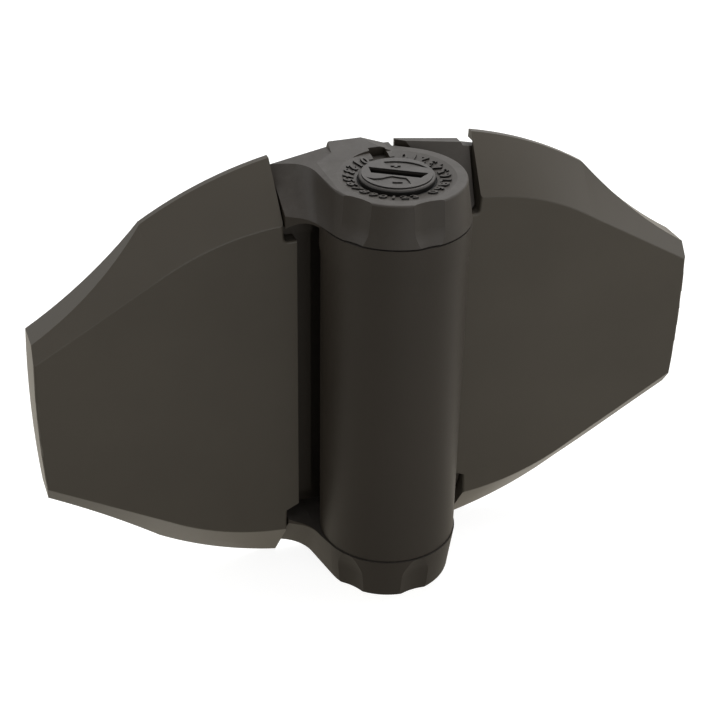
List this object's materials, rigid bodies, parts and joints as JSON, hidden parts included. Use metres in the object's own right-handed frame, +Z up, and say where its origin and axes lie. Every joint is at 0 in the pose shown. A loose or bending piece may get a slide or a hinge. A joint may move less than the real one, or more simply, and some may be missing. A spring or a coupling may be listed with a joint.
{
  "type": "self-closing gate hinge",
  "caption": "Self-closing gate hinge in dark moulded plastic: two winged covered leaves, a central spring barrel and a slotted press-and-turn tension dial.",
  "frame": {"origin": "on the barrel's axis, halfway up the covers", "axes": "+X towards the gate, +Y into the post and gate, +Z up along the barrel"},
  "size_m": [0.199, 0.0419, 0.1353],
  "materials": {
    "leaf_plastic": "moulded matt",
    "cover_plastic": "fine texture",
    "dial_plastic": "moulded satin",
    "pivot_steel": "turned",
    "spring_steel": "oiled black",
    "bush_plastic": "natural acetal",
    "driver_metal": "die cast",
    "fastener_steel": "black oxide",
    "seal_rubber": "soft"
  },
  "bodies": {
    "post": {"post_leaf": "leaf_plastic", "post_cover": "cover_plastic", "ratchet_ring": "driver_metal", "top_pivot": "pivot_steel", "top_lock_screw": "fastener_steel", "bottom_pivot": "pivot_steel", "bottom_lock_screw": "fastener_steel"},
    "gate": {"gate_leaf": "leaf_plastic", "gate_cover": "cover_plastic", "top_bush": "bush_plastic", "lower_bush": "bush_plastic", "top_thrust_washer": "pivot_steel", "lower_thrust_washer": "pivot_steel", "spring_anchor": "driver_metal", "anchor_pin": "fastener_steel", "torsion_spring": "spring_steel", "spring_guide": "bush_plastic"},
    "driver": {"spring_driver": "driver_metal", "return_spring": "spring_steel"},
    "dial": {"dial": "dial_plastic", "dial_seal": "seal_rubber"}
  },
  "joints": [
    {"name": "gate_swing", "type": "hinge", "parent": "post", "child": "gate", "pos_m": [0, 0, 0], "axis": [0, 0, -1], "range_deg": [0, 175], "stiffness_Nm_per_rad": 1, "springref_deg": -68.75, "deforming": ["torsion_spring"]},
    {"name": "tension_turn", "type": "hinge", "parent": "post", "child": "driver", "pos_m": [0, 0, 0], "axis": [0, 0, -1], "range_deg": [0, 270], "deforming": ["torsion_spring"]},
    {"name": "dial_press", "type": "slide", "parent": "driver", "child": "dial", "axis": [0, 0, -1], "range_m": [0, 0.003], "stiffness_N_per_m": 1500, "springref_m": -0.002, "deforming": ["return_spring"]}
  ]
}
